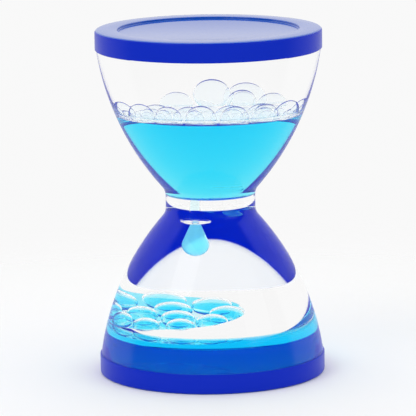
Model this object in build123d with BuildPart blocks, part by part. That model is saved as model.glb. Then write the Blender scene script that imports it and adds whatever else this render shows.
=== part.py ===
import math
import os

from build123d import *

os.makedirs("parts", exist_ok=True)

# Driving dimensions in millimetres and degrees, with shares of one and size_turn in radians
total_height = 107.5
cap_radius = 35.0
cap_height = 6.2
cap_rim_width = 7.0
cap_recess = 0.8
cap_panel = 1.8
cap_edge_round = 0.9
cap_small_round = 0.3
cap_step = 0.4

mouth_rebate = 0.6
wall = 1.4
neck_radius = 13.9
neck_round = 4.5
flare_angle = 41.0

plate_thickness = 3.6
plate_spigot = 0.4
end_flange = 1.4
end_spigot = 2.0
gasket_thickness = 0.6
fit_gap = 0.15
film_gap = 0.1

fill_share = 0.63
fill_radius = 3.0
plug_head_radius = 4.5
plug_head = 0.8

nozzle_offset = 4.7
nozzle_bearing = 218.0
nozzle_radius = 3.4
nozzle_lip_radius = 3.8
nozzle_lip = 1.0
nozzle_collar_radius = 4.2
nozzle_collar = 0.8
nozzle_bore = 1.3
nozzle_web = 1.0
nozzle_orifice = 0.9
nozzle_reach = 5.8

upper_water_depth = 29.4
lower_water_depth = 10.3

drop_radius = 3.3
drop_neck = 0.9
drop_length = 11.2
bubble_radius = 2.9
bubble_neck = 1.3
bubble_length = 7.4

bead_half_width = 4.0
bead_half_height = 2.3
bead_side_round = 1.7
bead_size_swing = 0.025
bead_rings = 2
raft_depth = 3.1
raft_share = 0.585
raft_offset_share = 0.345
raft_bearing = 172.0

foam_radius = 4.6
foam_size_swing = 0.05
foam_rise = 0.2
foam_wall_room = 1.12
foam_rings = 3
foam_heap_share = 0.182
foam_heap = (
    (0.05, 300.0, 1.0, 0.6),
    (0.42, 40.0, 0.97, 0.31),
    (0.6, 306.0, 0.92, 0.0),
    (0.61, 0.0, 0.85, -0.35),
    (0.36, 145.0, 0.85, -0.14),
)
size_turn = 2.4

# Derived heights and radii, h being the distance from the middle plane
mid = total_height / 2
half_plate = plate_thickness / 2
spigot_face = half_plate + plate_spigot
panel_face = mid - cap_recess - cap_panel
flange_face = panel_face - end_flange
mouth_end = flange_face - gasket_thickness
floor_face = flange_face - end_spigot
cap_edge = mid - cap_height
shoulder = cap_edge - film_gap
mouth_radius = cap_radius - cap_step
lap_radius = mouth_radius - mouth_rebate
skirt_radius = lap_radius + fit_gap
upper_water_level = mid + upper_water_depth
lower_water_level = mid - floor_face + lower_water_depth

# Flared wall: a small round at the neck runs into one long arc to the mouth
flare = math.radians(flare_angle)
arc_r = neck_radius + neck_round * (1 - math.cos(flare))
arc_h = half_plate + neck_round * math.sin(flare)
rise = shoulder - arc_h
mouth_slope = 2 * math.atan((mouth_radius - arc_r) / rise) - flare
arc_radius = rise / (math.sin(flare) - math.sin(mouth_slope))
arc_centre_r = arc_r - arc_radius * math.cos(flare)
arc_centre_h = arc_h + arc_radius * math.sin(flare)
neck_centre_r = neck_radius + neck_round
bore_radius = arc_centre_r + (arc_radius - wall) * math.cos(mouth_slope)
end_spigot_radius = bore_radius - fit_gap
plate_spigot_radius = neck_radius - wall - film_gap
fill_offset = fill_share * end_spigot_radius

# Nozzle stations
bearing = math.radians(nozzle_bearing)
nozzle_x = nozzle_offset * math.cos(bearing)
nozzle_y = nozzle_offset * math.sin(bearing)
tip_h = spigot_face + nozzle_reach


def wall_radius(h, inset):
    return arc_centre_r + math.sqrt((arc_radius - inset) ** 2 - (h - arc_centre_h) ** 2)


def half_plane(side):
    return Plane(origin=(0, 0, mid), x_dir=(1, 0, 0), z_dir=(0, -side, 0))


def turned_over(part):
    across = Axis((0, 0, mid), (-math.sin(bearing), math.cos(bearing), 0))
    return part.rotate(across, 180)


def cavity(side, inset):
    # solid of everything inside the wall, from the plate to the end plate
    end_r = arc_centre_r + (arc_radius - inset) * math.cos(mouth_slope)
    end_h = arc_centre_h - (arc_radius - inset) * math.sin(mouth_slope)
    with BuildPart(mode=Mode.PRIVATE) as inside:
        with BuildSketch(half_plane(side)):
            with BuildLine():
                CenterArc((neck_centre_r, half_plate), neck_round + inset, 180, -flare_angle)
                CenterArc(
                    (arc_centre_r, arc_centre_h),
                    arc_radius - inset,
                    -flare_angle,
                    flare_angle - math.degrees(mouth_slope),
                )
                Polyline((end_r, end_h), (end_r, mouth_end), (0, mouth_end), (0, half_plate),
                         (neck_radius - inset, half_plate))
            make_face()
        revolve(axis=Axis.Z)
    return inside.part


def layer(low, high):
    # wide disc used to keep the liquid between two levels
    with BuildPart(mode=Mode.PRIVATE) as disc:
        with Locations((0, 0, (low + high) / 2)):
            Cylinder(cap_radius, high - low)
    return disc.part


def bubble(x, y, z, radius, foot):
    # round foam bubble, cut flat at the foot that it stands on
    with BuildPart(mode=Mode.PRIVATE) as body:
        with Locations((x, y, z)):
            Sphere(radius)
        if z - radius < foot:
            split(bisect_by=Plane.XY.offset(foot), keep=Keep.TOP)
    return body.part


def dish():
    # round hollow that the settled beads press into the lower water
    with BuildPart(mode=Mode.PRIVATE) as hollow:
        with BuildSketch(Plane.XY.offset(raft_floor)):
            with Locations((raft_x, raft_y)):
                Circle(raft_radius)
        extrude(amount=2 * raft_depth)
    return hollow.part


def rings(edge, pitch, most):
    # places on rings that shrink by one pitch each, the last place being the centre
    places = []
    for ring in range(most):
        radius = edge - ring * pitch
        if radius < 0:
            break
        if radius < pitch / 2:
            radius = 0
        count = int(math.pi / math.asin(pitch / 2 / radius)) if radius > 0 else 1
        for n in range(count):
            angle = math.tau * (n + 0.5 * ring) / count
            places.append((radius * math.cos(angle), radius * math.sin(angle)))
    return places


def bead(x, y, half_width, grow):
    # flattened drop: a rounded side that runs into a flatter top and bottom
    side = bead_side_round + grow
    tall = bead_half_height + grow
    off = half_width - bead_side_round
    lift = tall - side
    drop = (off**2 - lift**2) / (2 * lift)
    meet = math.degrees(math.atan2(drop, off))
    with BuildPart(mode=Mode.PRIVATE) as body:
        with BuildSketch(Plane.XZ):
            with BuildLine():
                CenterArc((0, drop), tall + drop, -90, 90 - meet)
                CenterArc((off, 0), side, -meet, 2 * meet)
                CenterArc((0, -drop), tall + drop, meet, 90 - meet)
                Line((0, tall), (0, -tall))
            make_face()
        revolve(axis=Axis.Z)
    return body.part.moved(Location((x, y, bead_height)))


def nozzle_body(grow):
    # outside of the drip nozzle, made larger by grow
    with BuildPart(mode=Mode.PRIVATE) as body:
        with BuildSketch(Plane(origin=(nozzle_x, nozzle_y, mid), x_dir=(1, 0, 0), z_dir=(0, 1, 0))):
            with BuildLine():
                Polyline(
                    (0, -spigot_face),
                    (nozzle_radius + grow, -spigot_face),
                    (nozzle_radius + grow, spigot_face),
                    (nozzle_collar_radius + grow, spigot_face),
                    (nozzle_collar_radius + grow, spigot_face + nozzle_collar + grow),
                    (nozzle_radius + grow, spigot_face + nozzle_collar + grow),
                    (nozzle_radius + grow, tip_h - nozzle_lip - grow),
                    (nozzle_lip_radius + grow, tip_h - nozzle_lip - grow),
                    (nozzle_lip_radius + grow, tip_h + grow),
                    (0, tip_h + grow),
                    close=True,
                )
            make_face()
        revolve(axis=Axis((nozzle_x, nozzle_y, 0), (0, 0, 1)))
    return body.part


def nozzle_core(grow):
    # liquid column inside the drip nozzle
    with BuildPart(mode=Mode.PRIVATE) as body:
        with BuildSketch(Plane(origin=(nozzle_x, nozzle_y, mid), x_dir=(1, 0, 0), z_dir=(0, 1, 0))):
            with BuildLine():
                Polyline(
                    (0, -spigot_face),
                    (nozzle_bore + grow, -spigot_face),
                    (nozzle_bore + grow, tip_h - nozzle_web + grow),
                    (nozzle_orifice + grow, tip_h - nozzle_web + grow),
                    (nozzle_orifice + grow, tip_h),
                    (0, tip_h),
                    close=True,
                )
            make_face()
        revolve(axis=Axis((nozzle_x, nozzle_y, 0), (0, 0, 1)))
    return body.part


def hanging_drop(radius, neck, length, grow):
    # teardrop under the drip nozzle, round at the bottom and drawn to a neck at the top
    top = tip_h + film_gap
    centre = top + length - radius
    reach = math.hypot(neck, centre - top)
    with BuildPart(mode=Mode.PRIVATE) as body:
        with BuildSketch(Plane(origin=(nozzle_x, nozzle_y, mid), x_dir=(1, 0, 0), z_dir=(0, 1, 0))):
            with BuildLine():
                side = math.sqrt(reach**2 - radius**2)
                spread = math.atan2(neck, centre - top)
                turn = math.atan2(radius, side)
                on_r = neck + side * math.sin(turn - spread)
                on_h = top + side * math.cos(turn - spread)
                end_angle = math.degrees(math.atan2(on_h - centre, on_r))
                Polyline((0, top), (neck, top), (on_r, on_h))
                CenterArc((0, centre), radius, end_angle, 90 - end_angle)
                Line((0, centre + radius), (0, top))
            make_face()
            if grow > 0:
                offset(amount=grow, kind=Kind.INTERSECTION)
                with Locations((-2 * radius, centre)):
                    Rectangle(4 * radius, 8 * radius, mode=Mode.SUBTRACT)
        revolve(axis=Axis((nozzle_x, nozzle_y, 0), (0, 0, 1)))
    return body.part


# Where each settled bead lies: rings in the dish that their weight presses into the water
raft_floor = lower_water_level - raft_depth
bead_height = raft_floor + film_gap + bead_half_height
bead_room = wall_radius(mid - bead_height - bead_half_height, wall + film_gap)
raft_radius = raft_share * bead_room
raft_x = raft_offset_share * bead_room * math.cos(math.radians(raft_bearing))
raft_y = raft_offset_share * bead_room * math.sin(math.radians(raft_bearing))
bead_pitch = 2 * bead_half_width + 4 * film_gap
bead_edge = raft_radius - bead_half_width - 3 * film_gap
bead_spots = []
for n, (x, y) in enumerate(rings(bead_edge, bead_pitch, bead_rings)):
    size = bead_half_width * (1 - bead_size_swing * (1 - math.sin(size_turn * n)))
    bead_spots.append((raft_x + x, raft_y + y, size))

# Where each foam bubble lies: rings that stand on the upper water and a heap on top of them
foam_height = upper_water_level + foam_rise
foam_foot = upper_water_level + film_gap
foam_deck = foam_height + foam_radius + 4 * film_gap
foam_room = wall_radius(foam_height - mid, wall + film_gap)
foam_edge = foam_room - foam_wall_room * (foam_radius + film_gap)
foam_pitch = 2 * foam_radius + 3 * film_gap
foam_spots = []
for n, (x, y) in enumerate(rings(foam_edge, foam_pitch, foam_rings)):
    size = foam_radius * (1 - foam_size_swing * (1 - math.sin(size_turn * n)))
    foam_spots.append((x, y, foam_height, size, foam_foot))
for share, spot, size_share, lift_share in foam_heap:
    x = share * foam_edge * math.cos(math.radians(spot))
    y = share * foam_edge * math.sin(math.radians(spot))
    size = size_share * foam_heap_share * foam_edge
    foam_spots.append((x, y, foam_deck + lift_share * size, size, foam_deck))

# Upper cap: coloured ring with a shallow round recess
with BuildPart() as upper_cap:
    recess_radius = cap_radius - cap_rim_width
    with BuildSketch(half_plane(1)) as cap_section:
        with BuildLine():
            Polyline(
                (0, panel_face),
                (skirt_radius, panel_face),
                (skirt_radius, cap_edge),
                (cap_radius, cap_edge),
                (cap_radius, mid),
                (recess_radius, mid),
                (recess_radius, mid - cap_recess),
                (0, mid - cap_recess),
                close=True,
            )
        make_face()
        fillet(cap_section.vertices().sort_by_distance((cap_radius, mid))[0], cap_edge_round)
        fillet(cap_section.vertices().sort_by_distance((cap_radius, cap_edge))[0], cap_small_round)
        fillet(cap_section.vertices().sort_by_distance((recess_radius, mid))[0], cap_small_round)
        fillet(
            cap_section.vertices().sort_by_distance((recess_radius, mid - cap_recess))[0],
            cap_small_round,
        )
    revolve(axis=Axis.Z)
upper_cap.part.label = "upper_cap"
export_step(upper_cap.part, "parts/upper_cap.step")

# Lower cap: the same moulding turned over
with BuildPart() as lower_cap:
    add(turned_over(upper_cap.part))
lower_cap.part.label = "lower_cap"
export_step(lower_cap.part, "parts/lower_cap.step")

# Upper end plate: closes the mouth and carries the fill hole
with BuildPart() as upper_end_plate:
    with BuildSketch(Plane.XY.offset(mid + floor_face)):
        Circle(end_spigot_radius)
    extrude(amount=end_spigot)
    with BuildSketch(Plane.XY.offset(mid + flange_face)):
        Circle(lap_radius)
    extrude(amount=end_flange)
    with BuildSketch(Plane.XY.offset(mid + floor_face)):
        with Locations((0, fill_offset)):
            Circle(fill_radius)
    extrude(amount=end_spigot + end_flange, mode=Mode.SUBTRACT)
    with BuildSketch(Plane.XY.offset(mid + panel_face - plug_head)):
        with Locations((0, fill_offset)):
            Circle(plug_head_radius + film_gap)
    extrude(amount=plug_head, mode=Mode.SUBTRACT)
upper_end_plate.part.label = "upper_end_plate"
export_step(upper_end_plate.part, "parts/upper_end_plate.step")

# Lower end plate: the same moulding turned over
with BuildPart() as lower_end_plate:
    add(turned_over(upper_end_plate.part))
lower_end_plate.part.label = "lower_end_plate"
export_step(lower_end_plate.part, "parts/lower_end_plate.step")

# Upper fill plug: headed stopper in the fill hole
with BuildPart() as upper_fill_plug:
    with BuildSketch(Plane.XY.offset(mid + panel_face - plug_head)):
        with Locations((0, fill_offset)):
            Circle(plug_head_radius)
    extrude(amount=plug_head)
    with BuildSketch(Plane.XY.offset(mid + floor_face)):
        with Locations((0, fill_offset)):
            Circle(fill_radius - film_gap)
    extrude(amount=panel_face - plug_head - floor_face)
upper_fill_plug.part.label = "upper_fill_plug"
export_step(upper_fill_plug.part, "parts/upper_fill_plug.step")

# Lower fill plug: the same stopper turned over
with BuildPart() as lower_fill_plug:
    add(turned_over(upper_fill_plug.part))
lower_fill_plug.part.label = "lower_fill_plug"
export_step(lower_fill_plug.part, "parts/lower_fill_plug.step")

# Upper gasket: flat ring between the mouth and the end plate
with BuildPart() as upper_gasket:
    with BuildSketch(Plane.XY.offset(mid + mouth_end)):
        Circle(lap_radius)
        Circle(bore_radius, mode=Mode.SUBTRACT)
    extrude(amount=gasket_thickness)
upper_gasket.part.label = "upper_gasket"
export_step(upper_gasket.part, "parts/upper_gasket.step")

# Lower gasket: the same ring turned over
with BuildPart() as lower_gasket:
    add(turned_over(upper_gasket.part))
lower_gasket.part.label = "lower_gasket"
export_step(lower_gasket.part, "parts/lower_gasket.step")

# Upper chamber: clear flared shell, open at the neck and at the mouth
with BuildPart() as upper_chamber:
    with BuildSketch(half_plane(1)):
        with BuildLine():
            CenterArc((neck_centre_r, half_plate), neck_round, 180, -flare_angle)
            CenterArc(
                (arc_centre_r, arc_centre_h),
                arc_radius,
                -flare_angle,
                flare_angle - math.degrees(mouth_slope),
            )
            Polyline(
                (mouth_radius, shoulder),
                (lap_radius, shoulder),
                (lap_radius, mouth_end),
                (0, mouth_end),
                (0, half_plate),
                (neck_radius, half_plate),
            )
        make_face()
    revolve(axis=Axis.Z)
    add(cavity(1, wall), mode=Mode.SUBTRACT)
upper_chamber.part.label = "upper_chamber"
export_step(upper_chamber.part, "parts/upper_chamber.step")

# Lower chamber: the same shell turned over
with BuildPart() as lower_chamber:
    add(turned_over(upper_chamber.part))
lower_chamber.part.label = "lower_chamber"
export_step(lower_chamber.part, "parts/lower_chamber.step")

# Nozzle plate: clear disc between the two necks with a spigot on each face
with BuildPart() as nozzle_plate:
    with Locations((0, 0, mid)):
        Cylinder(neck_radius, plate_thickness)
        Cylinder(plate_spigot_radius, 2 * spigot_face)
    with Locations((nozzle_x, nozzle_y, mid), (-nozzle_x, -nozzle_y, mid)):
        Cylinder(nozzle_radius + film_gap / 2, 2 * spigot_face, mode=Mode.SUBTRACT)
nozzle_plate.part.label = "nozzle_plate"
export_step(nozzle_plate.part, "parts/nozzle_plate.step")

# Drip nozzle: lipped tube that lets dyed water down
with BuildPart() as drip_nozzle:
    add(nozzle_body(0))
    add(nozzle_core(0), mode=Mode.SUBTRACT)
drip_nozzle.part.label = "drip_nozzle"
export_step(drip_nozzle.part, "parts/drip_nozzle.step")

# Riser nozzle: the same tube turned over, which lets clear oil up
with BuildPart() as riser_nozzle:
    add(turned_over(drip_nozzle.part))
riser_nozzle.part.label = "riser_nozzle"
export_step(riser_nozzle.part, "parts/riser_nozzle.step")

# Falling drop: dyed water hanging from the drip nozzle
with BuildPart() as falling_drop:
    add(hanging_drop(drop_radius, drop_neck, drop_length, 0))
falling_drop.part.label = "falling_drop"
export_step(falling_drop.part, "parts/falling_drop.step")

# Rising bubble: clear oil standing on the riser nozzle
with BuildPart() as rising_bubble:
    add(turned_over(hanging_drop(bubble_radius, bubble_neck, bubble_length, 0)))
rising_bubble.part.label = "rising_bubble"
export_step(rising_bubble.part, "parts/rising_bubble.step")

# Settled beads: flattened drops that have not merged yet
with BuildPart() as settled_beads:
    for x, y, size in bead_spots:
        add(bead(x, y, size, 0))
settled_beads.part.label = "settled_beads"
export_step(settled_beads.part, "parts/settled_beads.step")

# Foam bubbles: clear oil in thin water skins, heaped on the upper water
with BuildPart() as foam_bubbles:
    for x, y, z, size, foot in foam_spots:
        add(bubble(x, y, z, size, foot))
foam_bubbles.part.label = "foam_bubbles"
export_step(foam_bubbles.part, "parts/foam_bubbles.step")

# Upper dyed water: fills the bottom of the upper chamber and the drip nozzle
with BuildPart() as upper_dyed_water:
    add(cavity(1, wall + film_gap))
    add(layer(mid + spigot_face, upper_water_level), mode=Mode.INTERSECT)
    add(turned_over(nozzle_body(film_gap)), mode=Mode.SUBTRACT)
    add(turned_over(hanging_drop(bubble_radius, bubble_neck, bubble_length, film_gap)),
        mode=Mode.SUBTRACT)
    add(nozzle_core(-film_gap))
upper_dyed_water.part.label = "upper_dyed_water"
export_step(upper_dyed_water.part, "parts/upper_dyed_water.step")

# Upper clear oil: fills the rest of the upper chamber around the foam
with BuildPart() as upper_clear_oil:
    add(cavity(1, wall + film_gap))
    add(layer(upper_water_level, mid + floor_face), mode=Mode.INTERSECT)
    pockets = []
    for x, y, z, size, foot in foam_spots:
        pockets.append(bubble(x, y, z, size + film_gap, foot - 2 * film_gap))
    add(pockets, mode=Mode.SUBTRACT)
upper_clear_oil.part.label = "upper_clear_oil"
export_step(upper_clear_oil.part, "parts/upper_clear_oil.step")

# Lower clear oil: fills most of the lower chamber and the riser nozzle
with BuildPart() as lower_clear_oil:
    add(layer(lower_water_level, mid - spigot_face))
    add(dish())
    add(cavity(-1, wall + film_gap), mode=Mode.INTERSECT)
    add(nozzle_body(film_gap), mode=Mode.SUBTRACT)
    add(hanging_drop(drop_radius, drop_neck, drop_length, film_gap), mode=Mode.SUBTRACT)
    for x, y, size in bead_spots:
        add(bead(x, y, size, film_gap), mode=Mode.SUBTRACT)
    add(turned_over(nozzle_core(-film_gap)))
lower_clear_oil.part.label = "lower_clear_oil"
export_step(lower_clear_oil.part, "parts/lower_clear_oil.step")

# Lower dyed water: the merged layer on the lower end plate
with BuildPart() as lower_dyed_water:
    add(cavity(-1, wall + film_gap))
    add(layer(mid - floor_face, lower_water_level), mode=Mode.INTERSECT)
    add(dish(), mode=Mode.SUBTRACT)
lower_dyed_water.part.label = "lower_dyed_water"
export_step(lower_dyed_water.part, "parts/lower_dyed_water.step")
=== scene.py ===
import math

import bmesh
import bpy
import numpy as np
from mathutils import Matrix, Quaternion, Vector


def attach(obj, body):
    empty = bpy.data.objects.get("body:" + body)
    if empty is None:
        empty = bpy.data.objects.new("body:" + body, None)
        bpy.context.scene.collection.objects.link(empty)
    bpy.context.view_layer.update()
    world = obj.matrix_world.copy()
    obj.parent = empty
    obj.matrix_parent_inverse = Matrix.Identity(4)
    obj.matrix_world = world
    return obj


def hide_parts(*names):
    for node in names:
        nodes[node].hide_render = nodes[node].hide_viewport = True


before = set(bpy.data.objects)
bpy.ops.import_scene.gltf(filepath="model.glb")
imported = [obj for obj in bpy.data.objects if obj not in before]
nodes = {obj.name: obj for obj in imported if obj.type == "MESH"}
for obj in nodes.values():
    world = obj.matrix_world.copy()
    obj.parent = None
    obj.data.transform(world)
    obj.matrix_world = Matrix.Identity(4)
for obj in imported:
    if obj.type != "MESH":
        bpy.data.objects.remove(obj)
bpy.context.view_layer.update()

MM = 0.001
TINY = 1e-6
scene = bpy.context.scene

# Driving sizes of the timer in millimetres and degrees, with shares of one, as in the part
total_height = 107.5
cap_radius = 35.0
cap_height = 6.2
cap_rim_width = 7.0
cap_recess = 0.8
cap_panel = 1.8
cap_edge_round = 0.9
cap_small_round = 0.3
cap_step = 0.4

mouth_rebate = 0.6
wall = 1.4
neck_radius = 13.9
neck_round = 4.5
flare_angle = 41.0

plate_thickness = 3.6
plate_spigot = 0.4
end_flange = 1.4
end_spigot = 2.0
gasket_thickness = 0.6
fit_gap = 0.15
film_gap = 0.1

nozzle_offset = 4.7
nozzle_bearing = 218.0
nozzle_radius = 3.4
nozzle_lip_radius = 3.8
nozzle_lip = 1.0
nozzle_collar_radius = 4.2
nozzle_collar = 0.8
nozzle_bore = 1.3
nozzle_web = 1.0
nozzle_orifice = 0.9
nozzle_reach = 5.8

upper_water_depth = 29.4
lower_water_depth = 10.3

drop_radius = 3.3
drop_neck = 0.9
drop_length = 11.2
bubble_radius = 2.9
bubble_neck = 1.3
bubble_length = 7.4

bead_half_height = 2.3
bead_side_round = 1.7
raft_depth = 3.1
raft_share = 0.585
raft_offset_share = 0.345
raft_bearing = 172.0

# Sizes in millimetres that only the meshes have: small rounds, zones of a finish, edges of the liquids
cap_top_zone = 1.0
cap_top_margin = 0.2
collar_round = 0.2
root_round = 0.15
lip_round = 0.3
lip_zone = 1.2
hole_reach = 5.0
heap_zone = 1.0
heap_sink = 0.8
foot_round = 0.3
upper_dip = 1.6
lower_dip = 3.2
dip_reach = 4.9
hollow_edge = 2.6
point_gap = 0.02
floor_gap = 0.03
end_gap = 0.05
oil_gap = 0.2

# Derived heights and radii, h being the distance from the middle plane
mid = total_height / 2
half_plate = plate_thickness / 2
spigot_face = half_plate + plate_spigot
panel_face = mid - cap_recess - cap_panel
flange_face = panel_face - end_flange
mouth_end = flange_face - gasket_thickness
floor_face = flange_face - end_spigot
floor_z = mid - floor_face
cap_edge = mid - cap_height
shoulder = cap_edge - film_gap
mouth_radius = cap_radius - cap_step
lap_radius = mouth_radius - mouth_rebate
skirt_radius = lap_radius + fit_gap
liquid_inset = wall + film_gap
upper_level = mid + upper_water_depth
lower_level = floor_z + lower_water_depth

# Flared wall: a small round at the neck runs into one long arc to the mouth
flare = math.radians(flare_angle)
arc_r = neck_radius + neck_round * (1 - math.cos(flare))
arc_h = half_plate + neck_round * math.sin(flare)
rise = shoulder - arc_h
mouth_slope = 2 * math.atan((mouth_radius - arc_r) / rise) - flare
arc_radius = rise / (math.sin(flare) - math.sin(mouth_slope))
arc_centre_r = arc_r - arc_radius * math.cos(flare)
arc_centre_h = arc_h + arc_radius * math.sin(flare)
neck_steps = 14
wall_steps = 72

# Nozzle stations
bearing = math.radians(nozzle_bearing)
nozzle_x = nozzle_offset * math.cos(bearing)
nozzle_y = nozzle_offset * math.sin(bearing)
tip_h = spigot_face + nozzle_reach


def wall_radius(h, inset):
    """Radius of the wall's long arc at height h, moved inwards by inset."""
    return arc_centre_r + math.sqrt((arc_radius - inset) ** 2 - (h - arc_centre_h) ** 2)


# Round hollow that the settled beads press into the lower water
raft_floor = lower_level - raft_depth
bead_top = raft_floor + film_gap + 2 * bead_half_height
bead_room = wall_radius(mid - bead_top, liquid_inset)
raft_radius = raft_share * bead_room
raft_x = raft_offset_share * bead_room * math.cos(math.radians(raft_bearing))
raft_y = raft_offset_share * bead_room * math.sin(math.radians(raft_bearing))


# Outlines
def arc(x, y, radius, first, last, steps):
    """Points along an arc from the first angle to the last."""
    angles = [first + (last - first) * i / steps for i in range(steps + 1)]
    return [(x + radius * math.cos(a), y + radius * math.sin(a)) for a in angles]


def flared(inset, low=None, high=None):
    """Points (r, h) along the wall from the neck to the mouth, moved inwards by inset."""
    neck_centre_r = neck_radius + neck_round
    points = arc(neck_centre_r, half_plate, neck_round + inset, math.pi, math.pi - flare, neck_steps)
    points += arc(arc_centre_r, arc_centre_h, arc_radius - inset, -flare, -mouth_slope, wall_steps)[1:]
    if low is not None:
        points = [p for p in points if p[1] > low + point_gap]
    if high is not None:
        points = [p for p in points if p[1] < high - point_gap] + [(wall_radius(high, inset), high)]
    return points


def on_side(points, side):
    """Points (r, h) as (r, z), over the middle plane for side 1 and under it for side -1."""
    return [(r, mid + side * h) for r, h in points]


def rounded(points, radii, steps=6):
    """A polyline with its corners rounded by the given radii."""
    out = []
    for i, point in enumerate(points):
        radius = radii[i]
        if radius <= 0 or i in (0, len(points) - 1):
            out.append(point)
            continue
        corner = Vector(point)
        back = (Vector(points[i - 1]) - corner).normalized()
        ahead = (Vector(points[i + 1]) - corner).normalized()
        half = back.angle(ahead) / 2
        cut_back = radius / math.tan(half)
        centre = corner + (back + ahead).normalized() * (radius / math.sin(half))
        first = corner + back * cut_back - centre
        last = corner + ahead * cut_back - centre
        sweep = first.angle(last)
        for k in range(steps + 1):
            t = k / steps
            spoke = (first * math.sin((1 - t) * sweep) + last * math.sin(t * sweep)) / math.sin(sweep)
            out.append(tuple(centre + spoke))
    return out


# Mesh helpers
def linked(name, data):
    """Object with the given data, put into the scene."""
    obj = bpy.data.objects.new(name, data)
    scene.collection.objects.link(obj)
    return obj


def new_object(name, verts, faces, finishes, tags=None, sharp=None):
    """Smooth object from points in millimetres, with edges above the sharp angle in degrees kept."""
    mesh = bpy.data.meshes.new(name)
    mesh.from_pydata([tuple(c * MM for c in v) for v in verts], [], faces)
    for finish in finishes:
        mesh.materials.append(finish)
    if tags is not None:
        mesh.polygons.foreach_set("material_index", tags)
    mesh.polygons.foreach_set("use_smooth", [True] * len(mesh.polygons))
    shape = bmesh.new()
    shape.from_mesh(mesh)
    bmesh.ops.recalc_face_normals(shape, faces=shape.faces)
    shape.to_mesh(mesh)
    shape.free()
    if sharp is not None:
        mesh.set_sharp_from_angle(angle=math.radians(sharp))
    mesh.update()
    return linked(name, mesh)


def add_ring(verts, r, z, segments, at=(0, 0)):
    """Adds a ring of points, or one point if it is on the axis, and returns their numbers."""
    first = len(verts)
    if r < TINY:
        verts.append((at[0], at[1], z))
        return [first]
    for k in range(segments):
        a = math.tau * k / segments
        verts.append((at[0] + r * math.cos(a), at[1] + r * math.sin(a), z))
    return list(range(first, first + segments))


def bridge(low, high, segments):
    """Faces between two rings, one of which may be a single point."""
    faces = []
    for k in range(segments):
        n = (k + 1) % segments
        if len(low) == 1:
            faces.append((low[0], high[k], high[n]))
        elif len(high) == 1:
            faces.append((low[k], low[n], high[0]))
        else:
            faces.append((low[k], low[n], high[n], high[k]))
    return faces


def lathe(name, profile, finishes, kinds=None, closed=False, segments=256, at=(0, 0), sharp=30):
    """Turns (r, z) points round a vertical axis, where kinds numbers the finish of each span."""
    verts = []
    rings = [add_ring(verts, r, z, segments, at) for r, z in profile]
    faces, tags = [], []
    for i in range(len(rings) if closed else len(rings) - 1):
        span = bridge(rings[i], rings[(i + 1) % len(rings)], segments)
        faces += span
        tags += [kinds[i] if kinds else 0] * len(span)
    return new_object(name, verts, faces, finishes, tags, sharp)


def joined(objects, name):
    """One object from several, with the finishes of the first."""
    shape = bmesh.new()
    for obj in objects:
        shape.from_mesh(obj.data)
    mesh = bpy.data.meshes.new(name)
    shape.to_mesh(mesh)
    shape.free()
    for finish in objects[0].data.materials:
        mesh.materials.append(finish)
    for obj in objects:
        bpy.data.objects.remove(obj)
    return linked(name, mesh)


def cut(obj, tool):
    """Takes the tool's shape out of the object and removes the tool."""
    change = obj.modifiers.new("cut", "BOOLEAN")
    change.object = tool
    change.operation = "DIFFERENCE"
    change.solver = "EXACT"
    bpy.context.view_layer.update()
    result = bpy.data.meshes.new_from_object(obj.evaluated_get(bpy.context.evaluated_depsgraph_get()))
    obj.modifiers.clear()
    obj.data = result
    bpy.data.objects.remove(tool)


def islands(obj):
    """Centre and half sizes, in millimetres, of each separate solid in a CAD node."""
    mesh = obj.data
    coords = np.empty(len(mesh.vertices) * 3)
    mesh.vertices.foreach_get("co", coords)
    coords = coords.reshape(-1, 3)
    _, same = np.unique(np.round(coords / TINY).astype(np.int64), axis=0, return_inverse=True)
    same = same.reshape(-1)
    parent = list(range(same.max() + 1))

    def root(i):
        while parent[i] != i:
            parent[i] = parent[parent[i]]
            i = parent[i]
        return i

    for edge in mesh.edges:
        first, second = root(same[edge.vertices[0]]), root(same[edge.vertices[1]])
        if first != second:
            parent[first] = second
    group = np.array([root(i) for i in same])
    out = []
    for number in np.unique(group):
        points = coords[group == number] / MM
        low, high = points.min(0), points.max(0)
        out.append((tuple((low + high) / 2), tuple((high - low) / 2)))
    return sorted(out)


def place(obj, body, node):
    """Puts a mesh on its body, in the place of a CAD node, which it hides."""
    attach(obj, body)
    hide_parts(node)


# Shader helpers
def material(name):
    """Empty material, its node tree and its output."""
    finish = bpy.data.materials.new(name)
    finish.use_nodes = True
    tree = finish.node_tree
    tree.nodes.clear()
    return finish, tree, tree.nodes.new("ShaderNodeOutputMaterial")


def shader(tree, kind, **inputs):
    """Node of a kind with its inputs set, an underscore standing for a space in an input's name."""
    node = tree.nodes.new("ShaderNode" + kind)
    for key, value in inputs.items():
        node.inputs[key.replace("_", " ")].default_value = value
    return node


def blend(tree, share, first, second):
    """Mix of two shaders, where the share of the second is a number or another node's output."""
    mix = shader(tree, "MixShader")
    if isinstance(share, float):
        mix.inputs["Fac"].default_value = share
    else:
        tree.links.new(share, mix.inputs["Fac"])
    tree.links.new(first.outputs[0], mix.inputs[1])
    tree.links.new(second.outputs[0], mix.inputs[2])
    return mix


def mapped(tree, source, low, high, least=0.0, most=1.0, curve="SMOOTHSTEP"):
    """Output that runs from least to most while the source runs from low to high."""
    node = shader(tree, "MapRange", From_Min=low, From_Max=high, To_Min=least, To_Max=most)
    node.interpolation_type = curve
    tree.links.new(source, node.inputs["Value"])
    return node.outputs["Result"]


def pass_lamps(tree, out, surface, shade=(1, 1, 1)):
    """Gives the output a surface that only tints the light of lamps."""
    clear = shader(tree, "BsdfTransparent", Color=(*shade, 1))
    path = shader(tree, "LightPath")
    mix = blend(tree, path.outputs["Is Shadow Ray"], surface, clear)
    tree.links.new(mix.outputs[0], out.inputs["Surface"])


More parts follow.
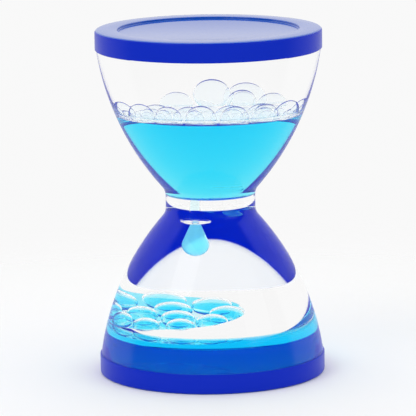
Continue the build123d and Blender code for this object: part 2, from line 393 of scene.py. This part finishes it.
def clear_material(name, index, shade=(1, 1, 1), dye=None, density=0.0, colour=(1, 1, 1),
                   cloud=0.0, cloud_colour=(1, 1, 1)):
    """Smooth clear surface that lets lamps through, with a dye inside and a cloudy share if given."""
    finish, tree, out = material(name)
    surface = shader(tree, "BsdfGlass", IOR=index, Roughness=0.0, Color=(*colour, 1))
    if cloud:
        front = shader(tree, "BsdfDiffuse", Color=(*cloud_colour, 1))
        back = shader(tree, "BsdfTranslucent", Color=(*cloud_colour, 1))
        surface = blend(tree, cloud, surface, blend(tree, 0.5, front, back))
    pass_lamps(tree, out, surface, shade)
    if dye:
        soak = shader(tree, "VolumeAbsorption", Color=(*dye, 1), Density=density)
        tree.links.new(soak.outputs[0], out.inputs["Volume"])
    return finish


def shell_material(name, index, gloss=0.6, mirror_start=0.2, mirror_full=0.7):
    """Clear outside face: weak gloss towards the room, from within only near to full reflection."""
    finish, tree, out = material(name)
    glass = shader(tree, "BsdfGlass", IOR=index, Roughness=0.0)
    bend = shader(tree, "BsdfRefraction", IOR=index, Roughness=0.0)
    mirror = shader(tree, "Fresnel", IOR=index)
    near_full = mapped(tree, mirror.outputs[0], mirror_start, mirror_full, curve="LINEAR")
    room = blend(tree, gloss, bend, glass)
    within = blend(tree, near_full, bend, glass)
    side = shader(tree, "NewGeometry")
    pass_lamps(tree, out, blend(tree, side.outputs["Backfacing"], room, within))
    return finish


def see_through(name, colour=(1, 1, 1)):
    """Face that only tints what lies behind it."""
    finish, tree, out = material(name)
    clear = shader(tree, "BsdfTransparent", Color=(*colour, 1))
    tree.links.new(clear.outputs[0], out.inputs["Surface"])
    return finish


def moulded(name, colour, rough, grain=0.0, specular=0.5):
    """Opaque plastic, with a fine grain if given."""
    finish, tree, out = material(name)
    body = shader(tree, "BsdfPrincipled", Base_Color=(*colour, 1), Roughness=rough, IOR=plastic_index,
                  Specular_IOR_Level=specular)
    if grain:
        where = shader(tree, "TexCoord")
        noise = shader(tree, "TexNoise", Scale=grain_scale, Detail=grain_detail)
        bump = shader(tree, "Bump", Strength=grain, Distance=grain_depth)
        tree.links.new(where.outputs["Object"], noise.inputs["Vector"])
        tree.links.new(noise.outputs["Fac"], bump.inputs["Height"])
        tree.links.new(bump.outputs[0], body.inputs["Normal"])
    tree.links.new(body.outputs[0], out.inputs["Surface"])
    return finish


# Indices of refraction, where shell and oil are one clear body and what lies in it is set against it
oil_index = 1.445
upper_shell_index = 1.39
water_index = 1.335 / oil_index
settled_index = 0.91
drop_index = 0.965
foam_index = 0.962
bubble_index = 1.02
nozzle_index = 1.1
riser_index = 1.012

# Moulded plastic: its own index and its grain, with the depth in metres
plastic_index = 1.5
grain_scale = 900.0
grain_detail = 4
grain_depth = 0.0002

# Clear finishes
water_shade = (0.55, 0.9, 1.0)
water_density = 85.0
shell_outer = shell_material("clear shell outside", oil_index)
upper_outer = shell_material("upper shell outside", upper_shell_index)
inside = see_through("clear shell inside")
oil_skin = see_through("clear oil")
thin_water = see_through("dyed water in the bore", (0.9, 0.99, 1.0))
water = clear_material("dyed water", water_index, shade=water_shade, dye=(0.0, 0.91, 1.0),
                       density=water_density)
low_water = clear_material("settled dyed water", settled_index, shade=water_shade, dye=(0.0, 0.89, 1.0),
                           density=water_density)
drop_water = clear_material("dyed drop", drop_index, shade=(0.7, 0.95, 1.0), dye=(0.0, 0.93, 1.0),
                            density=230.0, cloud=0.42, cloud_colour=(0.42, 0.93, 0.97))
bead_water = clear_material("dyed bead", water_index, shade=(0.8, 0.97, 1.0), dye=(0.0, 0.92, 1.0),
                            density=150.0, cloud=0.08, cloud_colour=(0.2, 0.85, 0.97))
oil_ball = clear_material("oil bubble", bubble_index)
foam_skin = clear_material("foam skin", foam_index, colour=(0.986, 0.998, 1.0),
                           cloud=0.04, cloud_colour=(0.92, 0.99, 0.99))
nozzle_clear = clear_material("clear nozzle", nozzle_index)
riser_clear = clear_material("clear riser", riser_index)

# Moulded finishes
cap_side = moulded("blue cap side", (0.001, 0.022, 0.52), 0.3, grain=0.03, specular=0.12)
# The flat end's blue is painted lighter and greener than the side's. This is a painted reflection of the
# bright room on the same plastic, on top of a real glossier finish.
cap_top_painted_light = moulded("blue cap top with painted reflection", (0.005, 0.09, 0.53), 0.12, grain=0.02, specular=0.76)
plate_blue = moulded("blue end plate", (0.002, 0.02, 0.56), 0.5, specular=0.01)
gasket_white = moulded("gasket", (0.8, 0.83, 0.86), 0.5)

# Caps, with a glossier finish on the flat end, whose blue is also painted lighter as a painted reflection
# of the bright room
recess_radius = cap_radius - cap_rim_width
recess_face = mid - cap_recess
loop = rounded(
    [(0, panel_face), (skirt_radius, panel_face), (skirt_radius, cap_edge), (cap_radius, cap_edge),
     (cap_radius, mid), (recess_radius, mid), (recess_radius, recess_face), (0, recess_face)],
    [0, 0, 0, cap_small_round, cap_edge_round, cap_small_round, cap_small_round, 0],
)
kinds = [1 if h > mid - cap_top_zone and r < cap_radius - cap_top_margin else 0 for r, h in loop]
for side, node in ((1, "upper_cap"), (-1, "lower_cap")):
    cap = lathe(node + "_visual", on_side(loop, side), [cap_side, cap_top_painted_light], kinds)
    place(cap, "timer", node)

# End plates, fill plugs and gaskets keep their CAD shapes
for finish, names in (
    (plate_blue, ("upper_end_plate", "lower_end_plate", "upper_fill_plug", "lower_fill_plug")),
    (gasket_white, ("upper_gasket", "lower_gasket")),
):
    for name in names:
        nodes[name].data.materials.clear()
        nodes[name].data.materials.append(finish)

# Chambers, whose outer wall alone bends light
outer = flared(0)
inner = flared(wall)
lap = [(lap_radius, shoulder), (lap_radius, mouth_end), (inner[-1][0], mouth_end)]
loop = outer + lap + inner[::-1]
kinds = [0] * (len(outer) - 1) + [1] * (len(loop) - len(outer) + 1)
for side, node, face in ((1, "upper_chamber", upper_outer), (-1, "lower_chamber", shell_outer)):
    shell = lathe(node + "_visual", on_side(loop, side), [face, inside], kinds, closed=True)
    place(shell, "timer", node)

# Nozzle plate, whose edge alone bends light, with a hole for each nozzle
spigot_radius = neck_radius - wall - film_gap
loop = [(0, -spigot_face), (spigot_radius, -spigot_face), (spigot_radius, -half_plate),
        (neck_radius, -half_plate), (neck_radius, half_plate),
        (spigot_radius, half_plate), (spigot_radius, spigot_face), (0, spigot_face)]
plate = lathe("nozzle_plate_visual", on_side(loop, 1), [inside, shell_outer], [0, 0, 0, 1, 0, 0, 0])
hole_radius = nozzle_radius + film_gap / 2
loop = [(0, -hole_reach), (hole_radius, -hole_reach), (hole_radius, hole_reach), (0, hole_reach)]
for way in (1, -1):
    hole = lathe("hole", on_side(loop, 1), [inside], segments=64, at=(way * nozzle_x, way * nozzle_y))
    cut(plate, hole)
place(plate, "timer", "nozzle_plate")

# Nozzles: in the oil only the lip of the drip nozzle shows
collar_top = spigot_face + nozzle_collar
lip_foot = tip_h - nozzle_lip
web_foot = tip_h - nozzle_web
loop = rounded(
    [(nozzle_bore, -spigot_face), (nozzle_radius, -spigot_face), (nozzle_radius, spigot_face),
     (nozzle_collar_radius, spigot_face), (nozzle_collar_radius, collar_top), (nozzle_radius, collar_top),
     (nozzle_radius, lip_foot), (nozzle_lip_radius, lip_foot), (nozzle_lip_radius, tip_h),
     (nozzle_orifice, tip_h), (nozzle_orifice, web_foot), (nozzle_bore, web_foot)],
    [0, 0, 0, 0, collar_round, collar_round, root_round, lip_round, lip_round, root_round, 0, 0],
)
kinds = [1 if h > tip_h - lip_zone else 0 for r, h in loop]
for side, node, tube_finish, lip_finish in (
    (-1, "drip_nozzle", inside, nozzle_clear),
    (1, "riser_nozzle", riser_clear, riser_clear),
):
    tube = lathe(node + "_visual", on_side(loop, side), [tube_finish, lip_finish], kinds, closed=True,
                 segments=96, at=(-side * nozzle_x, -side * nozzle_y))
    place(tube, "timer", node)


# Settled beads lie where the part has them
def bead_profile(half_width, half_height, steps=14):
    """Points (r, z) of a flattened drop: a rounded side that runs into a flatter top and bottom."""
    off = half_width - bead_side_round
    lift = half_height - bead_side_round
    drop = (off**2 - lift**2) / (2 * lift)
    meet = math.atan2(drop, off)
    points = arc(0, drop, half_height + drop, -math.pi / 2, -meet, steps)
    points += arc(off, 0, bead_side_round, -meet, meet, steps)[1:]
    points += arc(0, -drop, half_height + drop, meet, math.pi / 2, steps)[1:]
    return [(max(0.0, r), z) for r, z in points]


beads = []
for (x, y, z), (half_x, half_y, half_z) in islands(nodes["settled_beads"]):
    loop = [(r, z + h) for r, h in bead_profile((half_x + half_y) / 2, half_z)]
    beads.append(lathe("bead", loop, [bead_water], segments=48, at=(x, y), sharp=None))
place(joined(beads, "settled_beads_visual"), "timer", "settled_beads")

# Foam bubbles, those of the heap reaching a little into the layer under them
dome_steps = 32
bubbles = []
for (x, y, z), (half_x, half_y, half_z) in islands(nodes["foam_bubbles"]):
    # a bubble cut above its widest place is less tall than half its width
    wide = (half_x + half_y) / 2
    tall = 2 * half_z
    radius = wide if tall >= wide else (wide**2 + tall**2) / (2 * tall)
    foot = z - half_z
    centre = z + half_z - radius
    if foot > upper_level + heap_zone:
        foot -= heap_sink
    dome = arc(0, centre, radius, math.asin((foot - centre) / radius), math.pi / 2, dome_steps)
    loop = rounded([(0, foot)] + dome[:-1] + [(0, centre + radius)], [0, foot_round] + [0] * dome_steps)
    bubbles.append(lathe("bubble", loop, [foam_skin], segments=64, at=(x, y), sharp=None))
place(joined(bubbles, "foam_bubbles_visual"), "timer", "foam_bubbles")


# Liquids
def surface_height(x, y, from_wall, level, dip, hollow):
    """Height of a free surface that dips at the wall and, if hollow, under the beads."""
    z = level - dip * math.exp(-from_wall / dip_reach)
    if hollow:
        t = (raft_radius - math.hypot(x - raft_x, y - raft_y)) / hollow_edge
        t = min(1.0, max(0.0, t))
        z += (raft_floor - z) * t * t * (3 - 2 * t)
    return z


def liquid(name, side_points, level, dip, hollow, finish, segments=480, step=0.25):
    """Body of revolution inside the given side points, under a free surface."""
    verts = []
    rings = [add_ring(verts, r, z, segments) for r, z in side_points]
    edge = side_points[-1][0]
    count = int(edge / step)
    for i in range(count - 1, -1, -1):
        r = edge * i / count
        ring = add_ring(verts, r, level, segments)
        for k in ring:
            x, y, _ = verts[k]
            verts[k] = (x, y, surface_height(x, y, edge - r, level, dip, hollow))
        rings.append(ring)
    faces = []
    for low, high in zip(rings, rings[1:]):
        faces += bridge(low, high, segments)
    return new_object(name, verts, faces, [finish], sharp=40)


# Upper dyed water, with a column that fills the bore of the drip nozzle
wall_points = flared(liquid_inset, spigot_face, upper_level - upper_dip - mid)
side_points = [(0, spigot_face), (wall_points[0][0] - point_gap, spigot_face)] + wall_points
pool = liquid("upper_dyed_water_visual", on_side(side_points, 1), upper_level, upper_dip, False, water)
pool.data.materials.append(thin_water)
thin = nozzle_orifice - film_gap
thick = nozzle_bore - film_gap
step_h = tip_h - nozzle_web - film_gap
top_h = point_gap - spigot_face
loop = [(0, tip_h), (thin, tip_h), (thin, step_h), (thick, step_h), (thick, top_h), (0, top_h)]
column = lathe("column", on_side(loop, -1), [water, thin_water], [1] * (len(loop) - 1), segments=64,
               at=(nozzle_x, nozzle_y))
place(joined([pool, column], "upper_dyed_water_visual"), "timer", "upper_dyed_water")

# Lower dyed water
foot_z = floor_z + floor_gap
rim_z = lower_level - lower_dip
wall_points = [p for p in on_side(flared(liquid_inset), -1) if floor_z + end_gap < p[1] < rim_z - end_gap]
side_points = [(0, foot_z), (wall_radius(floor_face - end_gap, liquid_inset), foot_z)]
side_points += wall_points[::-1] + [(wall_radius(mid - rim_z, liquid_inset), rim_z)]
settled = liquid("lower_dyed_water_visual", side_points, lower_level, lower_dip, True, low_water)
place(settled, "timer", "lower_dyed_water")

# Clear oil bends light as the shell does, so its faces don't show
for side, node, low, high in (
    (1, "upper_clear_oil", upper_level - mid + oil_gap, floor_face - end_gap),
    (-1, "lower_clear_oil", spigot_face + end_gap, mid - lower_level - oil_gap),
):
    wall_points = flared(liquid_inset, low, high)
    loop = [(0, low), (wall_points[0][0] - end_gap, low)] + wall_points + [(0, high)]
    oil = lathe(node + "_visual", on_side(loop, side), [oil_skin])
    place(oil, "timer", node)

# Falling drop and rising bubble: a round end drawn to a neck at the nozzle
flank_steps = 8
end_steps = 28
neck_h = tip_h + film_gap
for side, node, radius, neck, length, finish, slot in (
    (-1, "falling_drop", drop_radius, drop_neck, drop_length, drop_water, "dyed_water"),
    (1, "rising_bubble", bubble_radius, bubble_neck, bubble_length, oil_ball, "clear_oil"),
):
    centre = neck_h + length - radius
    reach = math.sqrt(neck**2 + (centre - neck_h) ** 2 - radius**2)
    turn = math.atan2(radius, reach) - math.atan2(neck, centre - neck_h)
    out_r = reach * math.sin(turn)
    out_h = reach * math.cos(turn)
    first = math.atan2(neck_h + out_h - centre, neck + out_r)
    flank = [(neck + out_r * i / flank_steps, neck_h + out_h * i / flank_steps)
             for i in range(flank_steps + 1)]
    end = arc(0, centre, radius, first, math.pi / 2, end_steps)[1:-1]
    loop = [(0, neck_h)] + flank + end + [(0, centre + radius)]
    obj = lathe(node + "_visual", on_side(loop, side), [finish], segments=96,
                at=(-side * nozzle_x, -side * nozzle_y), sharp=50)
    place(obj, node, node)

# Stage: a pale floor that fades out away from the timer, in metres
floor_half = 0.6
fade_start = 0.05
fade_end = 0.26
floor_grey = 0.965
mesh = bpy.data.meshes.new("floor")
corners = [(x * floor_half, y * floor_half, 0) for x, y in ((-1, -1), (1, -1), (1, 1), (-1, 1))]
mesh.from_pydata(corners, [], [(0, 1, 2, 3)])
floor = linked("floor", mesh)
finish, tree, out = material("pale floor")
pale = shader(tree, "BsdfDiffuse", Color=(floor_grey, floor_grey, floor_grey, 1))
clear = shader(tree, "BsdfTransparent")
where = shader(tree, "TexCoord")
away = shader(tree, "VectorMath")
away.operation = "LENGTH"
tree.links.new(where.outputs["Object"], away.inputs[0])
fade = mapped(tree, away.outputs["Value"], fade_start, fade_end)
tree.links.new(blend(tree, fade, pale, clear).outputs[0], out.inputs["Surface"])
mesh.materials.append(finish)

# Room light: one sky lights, one is mirrored and is darker in front, and one is seen
world = bpy.data.worlds.new("studio")
scene.world = world
world.use_nodes = True
tree = world.node_tree
tree.nodes.clear()
out = shader(tree, "OutputWorld")
path = shader(tree, "LightPath")
where = shader(tree, "TexCoord")
axes = shader(tree, "SeparateXYZ")
tree.links.new(where.outputs["Generated"], axes.inputs[0])
front_edge = -0.05
back_edge = 0.15
front_share = 0.06
depth = mapped(tree, axes.outputs["Y"], front_edge, back_edge, least=front_share)


def sky(grey, strength):
    """Even grey background."""
    return shader(tree, "Background", Color=(grey, grey, grey, 1), Strength=strength)


lit = sky(1.0, 0.88)
mirrored = sky(0.94, 1.0)
shown = sky(0.945, 1.0)
tree.links.new(depth, mirrored.inputs["Strength"])
light = lit
for ray, other in (("Is Glossy Ray", mirrored), ("Is Transmission Ray", shown), ("Is Camera Ray", shown)):
    light = blend(tree, path.outputs[ray], light, other)
tree.links.new(light.outputs[0], out.inputs["Surface"])


# Lamps, in metres and watts
def soft_box(name, at, size, watts, target=(0, 0, 0.055)):
    """Square lamp that points at the timer."""
    lamp = bpy.data.lights.new(name, "AREA")
    lamp.shape = "SQUARE"
    lamp.size = size
    lamp.energy = watts
    obj = linked(name, lamp)
    obj.location = at
    obj.rotation_euler = (Vector(target) - Vector(at)).to_track_quat("-Z", "Y").to_euler()


soft_box("key", (-0.55, -0.55, 0.75), 0.5, 1.4)
soft_box("fill", (0.7, -0.5, 0.45), 0.5, 0.4)
soft_box("top", (0.0, 0.35, 0.9), 0.6, 0.8)

# Camera, in metres and degrees
camera_place = Vector((0, -1.095, 0.249))
camera_target = Vector((-0.0008, 0, 0.0513))
camera_roll = -0.78
lens = bpy.data.cameras.new("camera")
lens.sensor_width = 36.0
lens.lens = 310.5
lens.clip_start = 0.01
lens.clip_end = 20.0
camera = linked("camera", lens)
camera.location = camera_place
aim = (camera_target - camera_place).to_track_quat("-Z", "Y")
camera.rotation_euler = (aim @ Quaternion((0, 0, 1), math.radians(camera_roll))).to_euler()
scene.camera = camera

# Light paths long enough for the stacked clear walls
scene.cycles.max_bounces = 40
scene.cycles.transmission_bounces = 40
scene.cycles.transparent_max_bounces = 80
scene.cycles.glossy_bounces = 12
scene.view_settings.view_transform = "Standard"
